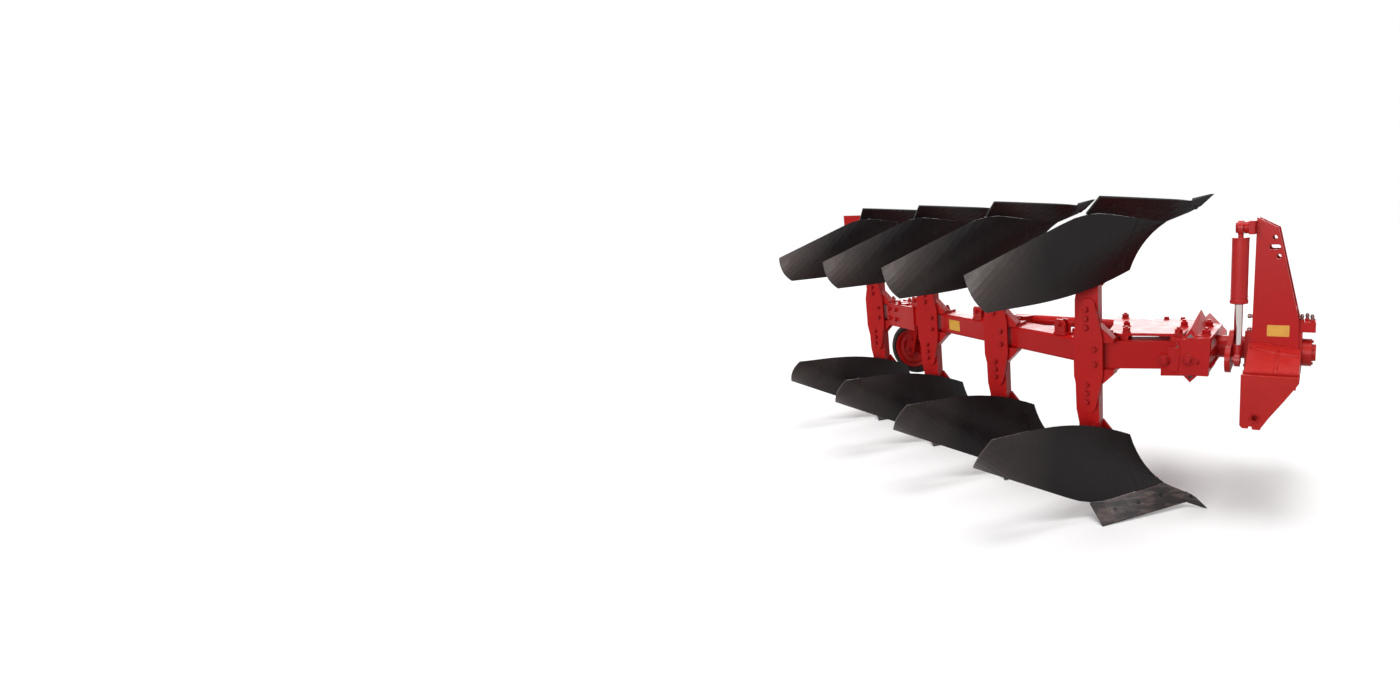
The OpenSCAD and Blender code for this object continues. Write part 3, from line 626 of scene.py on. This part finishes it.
for i in range(BODIES):
    half = ARM_HALF if i == 0 else BEAM_HALF
    for upper in (False, True):
        m = body_matrix(i, upper)
        kind = "upper" if upper else "lower"
        down = UP if upper else -UP
        # near plate, its weld and the bolts through it
        for z in (-0.154, -0.203, -0.252):
            frame_bolts.bolt(on_body(i, upper, -0.635, LEG_FACE, z, NEAR),
                             LEG_BOLT)
        frame_bolts.bolt(on_body(i, upper, -0.590, LEG_FACE, -0.040, NEAR),
                         LEG_BOLT)
        frame_welds.add(tube([m @ Vector((x, -0.1012, -z))
                              for x, z in LEG_PLATE_EDGE], 0.0036, 6,
                             WELD_RIPPLE), smooth=True)
        # seam between share and point
        plough_bolts.add(tube([m @ Vector((-0.1190, -0.0140, -0.7420)),
                               m @ Vector((-0.1100, -0.0175, -0.7960))],
                              0.0035, 8))
        # frog to shank
        for x, z in ((-0.655, -0.400), (-0.604, -0.400), (-0.655, -0.438),
                     (-0.604, -0.438)):
            frame_bolts.bolt(on_body(i, upper, x, SHANK_NEAR, z, NEAR),
                             LEG_BOLT)
            frame_bolts.bolt(on_body(i, upper, x, SHANK_FAR, z, -NEAR),
                             LEG_BOLT, stud=0.008)
        # clamp plate
        for x in (-0.535, -0.662):
            frame_bolts.bolt(on_body(i, upper, x, 0.022, -half - CLAMP_OVER,
                                     -UP),
                             CLAMP_BOLT, stud=0.012 if upper else 0)
        # landside; the last one's rear screw is further back and has no nut
        last = -0.600 if i == BODIES - 1 else -0.570
        for x in (-0.335, -0.455, last):
            landside_bolts.add(flush_head(LANDSIDE_HEAD),
                               on_body(i, upper, x, 0, LANDSIDE_Z, -NEAR))
            if x > -0.600:
                landside_bolts.bolt(on_body(i, upper, x, LANDSIDE_BACK,
                                            LANDSIDE_Z, NEAR),
                                    LANDSIDE_NUT, stud=0.006)
        # share, point, shin and mouldboard
        for node, r, spots in (
                ("shares_" + kind, SHARE_HEAD,
                 ((-0.236, -0.085), (-0.335, -0.180), (-0.435, -0.273))),
                ("points_" + kind, POINT_HEAD, ((-0.088, -0.012),))):
            for x, y in spots:
                p, n = hit(node, m @ Vector((x, y, -0.3)), down)
                plough_bolts.add(flush_head(r), frame_at(p, n))
        for node, spots in (
                ("shins_" + kind, ((-0.300, -0.670), (-0.335, -0.600))),
                ("mouldboard_%s_%d" % (kind, i + 1),
                 ((-0.375, -0.640), (-0.440, -0.560), (-0.425, -0.480),
                  (-0.520, -0.640), (-0.560, -0.520)))):
            for x, z in spots:
                start = m @ Vector((x + 0.45, -0.75, z))
                aim = (m @ Vector((x, -0.13, z))) - start
                p, n = hit(node, start, aim)
                plough_bolts.add(flush_head(BOARD_HEAD), frame_at(p, n))

# ---------------------------------------------------------------- frame

along_left = Vector((math.sin(BEAM_ANGLE), math.cos(BEAM_ANGLE), 0))

# lugs on the beam: base bolts and the pin through both lugs
FIRST_LUG = 0.388
LUG_NEAR, LUG_FAR, LUG_PIN_Z, LUG_BASE_Z = -0.080, -0.030, 0.127, 0.0803
LUG_BOLT = 0.024
for i in range(BODIES - 1):
    a = i * SPACING + FIRST_LUG
    near = beam_point(a, LUG_NEAR, LUG_PIN_Z)
    far = beam_point(a, LUG_FAR, LUG_PIN_Z)
    for da in (-0.030, 0.030):
        frame_bolts.bolt(frame_at(beam_point(a + da, 0.010, LUG_BASE_Z), UP),
                         LUG_BOLT)
    frame_bolts.bolt(frame_at(near, -along_left), LUG_BOLT)
    frame_bolts.bolt(frame_at(far, along_left), LUG_BOLT, stud=0.008)
    frame_bolts.add(tube([far - 0.001 * along_left, near], 0.009, 12),
                    smooth=True)
    frame_welds.add(tube([beam_point(a - 0.050, 0.046, 0.0688),
                          beam_point(a + 0.050, 0.046, 0.0688)], 0.004, 6,
                         WELD_RIPPLE), smooth=True)

# knee seam over the beam
frame_welds.add(tube([beam_point(0.151, k, 0.0690) for k in (-0.088, 0.088)],
                     0.005, 6, WELD_RIPPLE), smooth=True)

# head plate and tab
for x, z, across in ((-0.112, -0.008, 0.034), (-0.070, -0.014, 0.024),
                     (-0.240, -0.024, 0.036)):
    p, n = hit("head_plate", at(x, -0.6, z), -NEAR)
    if across > 0.03:
        frame_bolts.add(lathe([(0, -0.001), (0.034, -0.001), (0.034, 0.005),
                               (0.031, 0.007), (0, 0.007)], 28),
                        frame_at(p, n))
        p = p + n * 0.006
    frame_bolts.bolt(frame_at(p, n), across)
head_edge = [(-0.158, 0.094), (-0.156, 0.020), (-0.166, -0.088)]
frame_welds.add(tube([at(x, -0.031, z) for x, z in head_edge], 0.004, 6,
                     WELD_RIPPLE), smooth=True)

# gusset behind the head plate's rear edge
frame_welds.add(prism(rect(0.075, 0.125), 0.010, 0.001),
                frame_at(at(-0.188, 0.004, -0.016), NEAR))

# saddle and strap
STRAP_TOP = 0.110
SADDLE_BOLT, STRAP_BOLT = 0.040, 0.036
for x, y in ((-0.197, 0.318), (-0.179, 0.064), (-0.063, 0.350),
             (-0.036, 0.072)):
    frame_bolts.bolt(frame_at(at(x, y, STRAP_TOP), UP), SADDLE_BOLT,
                     stud=0.010)
for x, y in ((-0.511, 0.246), (-0.460, 0.050), (-0.600, 0.545)):
    frame_bolts.bolt(frame_at(at(x, y, STRAP_TOP), UP), STRAP_BOLT, stud=0.008)

# brace
BRACE_BOLT = 0.028
BRACE_FOOT = 0.875 / math.cos(BEAM_ANGLE)
for da in (-0.035, 0.035):
    frame_bolts.bolt(frame_at(beam_point(BRACE_FOOT + da, 0.1803, 0.030),
                              along_left), BRACE_BOLT, stud=0.008)
for x in (-0.260, -0.360):
    frame_bolts.bolt(frame_at(at(x, 0.615, 0.0947), UP), BRACE_BOLT)
    frame_bolts.bolt(frame_at(at(x, 0.660, 0.060), -NEAR), BRACE_BOLT)

# depth wheel bracket
PIVOT_X = -2.67343
PIVOT = at(PIVOT_X, 1.45559, 0)
HUB = at(-2.77282, 1.45559, -0.37092)
BRACKET_BOLT = 0.028
for along, z in ((2.345, 0.036), (2.452, 0.036), (2.558, 0.036),
                 (2.345, -0.040), (2.452, -0.040), (2.558, -0.040)):
    p, n = hit("wheel_bracket", beam_point(along, -0.4, z), along_left)
    frame_bolts.bolt(frame_at(p, n), BRACKET_BOLT)
for along, z in ((2.110, 0.036), (2.230, 0.036), (2.110, -0.040),
                 (2.230, -0.040)):
    p, n = hit("wheel_bracket", beam_point(along, 0.4, z), -along_left)
    frame_bolts.bolt(frame_at(p, n), BRACKET_BOLT, stud=0.008)
for along in (2.342, 2.437):
    for left in (-0.070, 0.070):
        p, n = hit("wheel_bracket", beam_point(along, left, 0.4), -UP)
        frame_bolts.bolt(frame_at(p, n), BRACKET_BOLT, stud=0.008)
frame_bolts.bolt(frame_at(PIVOT + Vector((0, 0.0230, 0)), -NEAR), 0.030)


def beam_side(x, left, up):
    """A point on the beam's side, found by its X from the pivot."""
    c, s = math.cos(BEAM_ANGLE), math.sin(BEAM_ANGLE)
    return beam_point((BEAM_START - PIVOT_X - x + left * s) / c, left, up)


frame_welds.add(tube([beam_side(0.052 * math.cos(a), 0.0905,
                                0.052 * math.sin(a))
                      for a in turn(24, close=True)],
                     0.004, 6, RING_RIPPLE), smooth=True)

frame_bolts.done()
frame_welds.done()
plough_bolts.done()
landside_bolts.done()

# ---------------------------------------------------------------- stickers


def blank_sticker(name, body, centre, normal, w, h):
    s = Piece(name, body, STICKER, "frame_red")
    s.add(prism(rect(w, h, 0.005), 0.0010, 0.0003, -0.0003),
          frame_at(centre, normal))
    s.done()


MAST_OUT = 0.100
MAST_STICKER = (0.113, 0.060)
BEAM_STICKER = (0.135, 0.072)
for side, sign in (("right", -1), ("left", 1)):
    blank_sticker("mast_sticker_" + side, "headstock",
                  at(0.310, AXIS_Y + MAST_OUT * sign, 0.115), -sign * NEAR,
                  *MAST_STICKER)
for side, sign in (("right", -1), ("left", 1)):
    blank_sticker("beam_sticker_" + side, "frame",
                  beam_point(1.506, 0.090 * sign, 0), sign * along_left,
                  *BEAM_STICKER)

# ---------------------------------------------------------------- headstock

head_bolts = Piece("headstock_bolts", "headstock", BOLT_RED, "frame_red")
head_welds = Piece("headstock_welds", "headstock", RED, "frame_red")
ribs = Piece("casting_ribs", "headstock", CAST, "frame_red")

CASTING_RIBS = (
    (((0.316, 0.018), (0.317, -0.040), (0.320, -0.105)), 0.011),
    (((0.262, -0.063), (0.320, -0.060), (0.396, -0.054)), 0.009),
    (((0.243, -0.125), (0.300, -0.137), (0.340, -0.140)), 0.012),
    (((0.238, -0.137), (0.205, -0.215), (0.176, -0.290)), 0.011),
    (((0.176, 0.030), (0.300, 0.012), (0.420, -0.004)), 0.010))
for node, start_y, toward in (("hitch_arm_right", -0.6, -NEAR),
                              ("hitch_arm_left", 1.4, NEAR)):
    for spots, r in CASTING_RIBS:
        line = []
        for (xa, za), (xb, zb) in zip(spots, spots[1:]):
            for k in range(7):
                t = k / 6
                start = at(xa + (xb - xa) * t, start_y, za + (zb - za) * t)
                p, n = hit(node, start, toward)
                line.append(p - n * r * 0.3)
        ribs.add(tube(line, r, 10), smooth=True)
ribs.done()

HITCH_HALF, CLEVIS_HALF, CHEEK_T = 0.4125, 0.031, 0.020
for side in (-1, 1):
    y_out = AXIS_Y + side * MAST_OUT
    face = Vector((0, side, 0))
    head_welds.add(tube([at(0.178, y_out, -0.0595), at(0.416, y_out, -0.0595)],
                        0.005, 6, RING_RIPPLE), smooth=True)
    head_welds.add(tube([at(0.186, AXIS_Y + side * 0.0795, 0.112),
                         at(0.186, AXIS_Y + side * 0.0795, 0.638)],
                        0.0035, 6, RING_RIPPLE), smooth=True)
    for out in (-1, 1):
        y = AXIS_Y + side * (HITCH_HALF + out * (CLEVIS_HALF + CHEEK_T))
        pin_ring = lathe([(0.0148, -0.001), (0.027, -0.001), (0.027, 0.003),
                          (0.025, 0.0045), (0.0148, 0.0045)], 32)
        head_bolts.add(pin_ring, frame_at(at(0.235, y, -0.262), face * out))
    for x in (0.215, 0.330, 0.385):
        head_bolts.bolt(frame_at(at(x, y_out, -0.030), face), 0.024)

# stop screws behind the casting
for z in (-0.085, -0.118):
    head_bolts.bolt(frame_at(at(0.165, 0.262, z), -AHEAD), 0.022, stud=0.014)

# front cover's screws, and the ring on its face
COVER_Z, COVER_SCREWS_R = -0.012, 0.0595
for k in range(6):
    a = math.radians(30 + 60 * k)
    head_bolts.bolt(frame_at(at(0.480, AXIS_Y + COVER_SCREWS_R * math.cos(a),
                                COVER_Z + COVER_SCREWS_R * math.sin(a)),
                             AHEAD), 0.014, washer=False)
head_bolts.add(lathe([(0.020, -0.002), (0.045, -0.002), (0.045, 0.0000),
                      (0.020, 0.0000)], 24),
               frame_at(at(0.5005, AXIS_Y, COVER_Z), AHEAD))

# hydraulic block: three couplings and the screws that hold it
BLOCK_TOP = 0.160
couplings = Piece("oil_couplings", "headstock", ZINC, "rod_chrome")
for x, y in ((0.424, 0.300), (0.450, 0.345), (0.475, 0.300)):
    m = frame_at(at(x, y, BLOCK_TOP), UP)
    head_bolts.add(hex_head(0.022, 0.012), m)
    couplings.add(lathe([(0, 0.010), (0.0085, 0.010), (0.0085, 0.020),
                         (0.0105, 0.022), (0.0105, 0.030), (0.0080, 0.033),
                         (0.0080, 0.038), (0.0050, 0.039), (0.0050, 0.030),
                         (0, 0.030)], 20), m)
for x in (0.412, 0.484):
    for y in (0.287, 0.373):
        head_bolts.add(lathe([(0, -0.001), (0.006, -0.001), (0.006, 0.006),
                              (0.0035, 0.006), (0.0035, 0.002),
                              (0, 0.002)], 16),
                       frame_at(at(x, y, BLOCK_TOP), UP))

# port fittings on the mast's rear web, beside the rod
for z in (0.185, 0.110):
    m = frame_at(at(0.187, 0.275, z), -AHEAD)
    head_bolts.add(hex_head(0.026, 0.012), m)
    couplings.add(lathe([(0, 0.010), (0.009, 0.010), (0.009, 0.018),
                         (0.012, 0.020), (0.012, 0.034), (0.008, 0.037),
                         (0, 0.037)], 20), m)
couplings.done()
head_bolts.done()
head_welds.done()

# crank: a ring of bolts ahead, and the weld round the shaft
CRANK_BOLTS_R, SHAFT_WELD_R = 0.079, 0.0645
crank_bolts = Piece("crank_bolts", "frame", BOLT_RED, "frame_red")
for k in range(5):
    a = math.radians(-60 + 30 * k)
    crank_bolts.bolt(frame_at(at(0.080, AXIS_Y + CRANK_BOLTS_R * math.cos(a),
                                 CRANK_BOLTS_R * math.sin(a)), AHEAD), 0.018,
                     washer=False)
crank_bolts.add(tube([at(0.0515, AXIS_Y + SHAFT_WELD_R * math.cos(a),
                         SHAFT_WELD_R * math.sin(a))
                      for a in turn(36, close=True)],
                     0.0045, 6, RING_RIPPLE), smooth=True)
crank_bolts.done()

# ---------------------------------------------------------------- cylinder

CYL_X, CYL_Y = 0.112, 0.180
CYL_STANDS = Matrix.Translation(at(CYL_X, CYL_Y, 0))
BARREL_WELD_R = 0.0445
barrel_trim = Piece("barrel_trim", "barrel", CYL_RED, "frame_red")
# gland nut, seam rings and ports
barrel_trim.add(lathe([(0.0430, 0.265), (0.0430, 0.286), (0.0462, 0.286),
                       (0.0475, 0.284), (0.0475, 0.266), (0.0462, 0.2645),
                       (0.0430, 0.2645)], 40), CYL_STANDS)
for z in (0.600, 0.300):
    barrel_trim.add(tube([at(CYL_X + BARREL_WELD_R * math.cos(a),
                             CYL_Y + BARREL_WELD_R * math.sin(a), z)
                          for a in turn(36, close=True)],
                         0.0026, 6, RING_RIPPLE), smooth=True)
for z in (0.575, 0.325):
    m = frame_at(at(CYL_X - 0.030, CYL_Y + 0.030, z), (-1, 1, 0))
    barrel_trim.add(lathe([(0, -0.004), (0.015, -0.004), (0.015, 0.010),
                           (0.013, 0.012), (0, 0.012)], 20), m)
    barrel_trim.add(hex_head(0.020, 0.008, 0.011), m)
barrel_trim.done()
wiper = Piece("rod_wiper", "barrel", SEAL, "tyre")
wiper.add(lathe([(0.0228, 0.2605), (0.0300, 0.2605), (0.0330, 0.2650),
                 (0.0330, 0.2660), (0.0228, 0.2660)], 32), CYL_STANDS)
wiper.done()

# ---------------------------------------------------------------- wheel

ARM_LENGTH = 0.384
WHEEL = HUB + Vector((0, 0.094, 0))
ACROSS = frame_at(WHEEL, NEAR)


def both_sides(half):
    """A profile from one side's [radius, height] points and their mirror."""
    return half + [(r, -h) for r, h in reversed(half)]


tyre = Piece("tyre_tread", "wheel", TYRE, "tyre")
tyre.add(lathe(both_sides(
    [(0.1503, 0.0410), (0.1712, 0.0575), (0.1762, 0.0680), (0.1800, 0.0692),
     (0.1870, 0.0697), (0.1905, 0.0685), (0.1912, 0.0669), (0.1985, 0.0645),
     (0.2070, 0.0598), (0.2135, 0.0525), (0.2185, 0.0440), (0.2210, 0.0345),
     (0.2219, 0.0300), (0.2175, 0.0290), (0.2175, 0.0250), (0.2236, 0.0235),
     (0.2246, 0.0080), (0.2195, 0.0068), (0.2195, 0.0030),
     (0.2248, 0.0018)]), 128), ACROSS)
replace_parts(tyre.done(), "wheel_tyre")

rim = Piece("rim_disc", "wheel", RED, "frame_red")
rim.add(lathe([(0.042, 0.014), (0.070, 0.014), (0.080, 0.018), (0.104, 0.031),
               (0.122, 0.034), (0.1405, 0.031), (0.1405, 0.038),
               (0.122, 0.041), (0.101, 0.040), (0.078, 0.026), (0.067, 0.021),
               (0.042, 0.021)], 72), ACROSS)
rim.add(lathe(both_sides(
    [(0.1365, 0.024), (0.1395, 0.046), (0.1600, 0.062), (0.1665, 0.060),
     (0.1675, 0.056), (0.1515, 0.0425), (0.1500, 0.032)]), 72), ACROSS)
rim.add(lathe([(0.0225, -0.054), (0.040, -0.054), (0.044, -0.050),
               (0.046, -0.016), (0.050, 0.006), (0.050, 0.018),
               (0.044, 0.030), (0.042, 0.050), (0.038, 0.054),
               (0.0225, 0.054)], 40), ACROSS)
WHEEL_STUDS_R = 0.060
for k in range(5):
    a = 2 * math.pi * (k + 0.25) / 5
    for flip in (1, -1):
        m = ACROSS @ Matrix.Translation((WHEEL_STUDS_R * math.cos(a),
                                         WHEEL_STUDS_R * math.sin(a),
                                         0.0208 if flip > 0 else 0.0142))
        if flip < 0:
            m = m @ Matrix.Rotation(math.pi, 4, "X")
        rim.bolt(m, 0.018, washer=False, stud=0.008)
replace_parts(rim.done(), "wheel_rim")

valve = Piece("tyre_valve", "wheel", SEAL, "tyre")
valve.add(tube([ACROSS @ Vector((0.135, 0.0, 0.042)),
                ACROSS @ Vector((0.120, 0.0, 0.050)),
                ACROSS @ Vector((0.110, 0.0, 0.062))], 0.0042, 10),
          smooth=True)
valve.done()

arm_trim = Piece("wheel_arm_trim", "wheel_arm", BOLT_RED, "frame_red")
arm_trim.bolt(frame_at(HUB + 0.012 * NEAR, NEAR), 0.036, stud=0.010)
for k in (0.100, 0.285):
    start = PIVOT.lerp(HUB, k / ARM_LENGTH) + 0.3 * NEAR
    p, n = hit("wheel_arm", start, -NEAR)
    arm_trim.bolt(frame_at(p, n), 0.024)
arm_trim.done()

# ---------------------------------------------------------------- stage


FLOOR_HALF = 60.0
FLOOR_GLOW = 0.16
FLOOR_BOUNCE = 0.30
SKY = 0.27
# name, direction, strength, and angle in degrees
SUNS = (("key", (-0.06, 0.02, -1.0), 2.4, 42),
        ("fill", (0.12, 0.97, -0.16), 1.9, 35),
        ("rim", (0.30, -0.94, -0.17), 1.3, 40))


def make_stage():
    """A pale floor that glows a little to the camera, a sky and three suns."""
    me = bpy.data.meshes.new("floor")
    h = FLOOR_HALF
    me.from_pydata([(-h, -h, 0), (h, -h, 0), (h, h, 0), (-h, h, 0)], [],
                   [(0, 1, 2, 3)])
    floor = bpy.data.objects.new("floor", me)
    scene.collection.objects.link(floor)
    t = Tree("floor")
    path = t.add("ShaderNodeLightPath")
    glow = t.add("ShaderNodeEmission")
    glow.inputs["Color"].default_value = (1, 1, 1, 1)
    t.link(t.ramp(path.outputs["Is Camera Ray"], 0, 1, 0.0, FLOOR_GLOW),
           glow.inputs["Strength"])
    plain = t.add("ShaderNodeBsdfDiffuse")
    tone = t.mix(t.ramp(t.noise(0.6, 2), 0.3, 0.7), (0.80, 0.80, 0.80),
                 (0.83, 0.83, 0.83))
    tone = t.mix(t.math("MAXIMUM", path.outputs["Is Camera Ray"],
                        path.outputs["Is Glossy Ray"]),
                 (FLOOR_BOUNCE,) * 3, tone)
    t.link(tone, plain.inputs["Color"])
    both = t.add("ShaderNodeAddShader")
    t.link(glow.outputs[0], both.inputs[0])
    t.link(plain.outputs[0], both.inputs[1])
    t.link(both.outputs[0], t.out.inputs["Surface"])
    me.materials.append(t.mat)

    world = bpy.data.worlds.new("world")
    scene.world = world
    world.use_nodes = True
    wt = world.node_tree
    wt.nodes.clear()
    out = wt.nodes.new("ShaderNodeOutputWorld")
    bg = wt.nodes.new("ShaderNodeBackground")
    bg.inputs["Color"].default_value = (1, 1, 1, 1)
    path = wt.nodes.new("ShaderNodeLightPath")
    seen = wt.nodes.new("ShaderNodeMath")
    seen.operation = "MAXIMUM"
    wt.links.new(path.outputs["Is Camera Ray"], seen.inputs[0])
    wt.links.new(path.outputs["Is Glossy Ray"], seen.inputs[1])
    level = wt.nodes.new("ShaderNodeMapRange")
    level.inputs["To Min"].default_value = SKY
    level.inputs["To Max"].default_value = 1.0
    wt.links.new(seen.outputs[0], level.inputs["Value"])
    wt.links.new(level.outputs["Result"], bg.inputs["Strength"])
    wt.links.new(bg.outputs[0], out.inputs["Surface"])

    for name, direction, strength, angle in SUNS:
        data = bpy.data.lights.new(name, "SUN")
        data.energy = strength
        data.angle = math.radians(angle)
        ob = bpy.data.objects.new(name, data)
        aim = Vector(direction).to_track_quat("-Z", "Y")
        ob.rotation_euler = aim.to_euler()
        scene.collection.objects.link(ob)


make_stage()
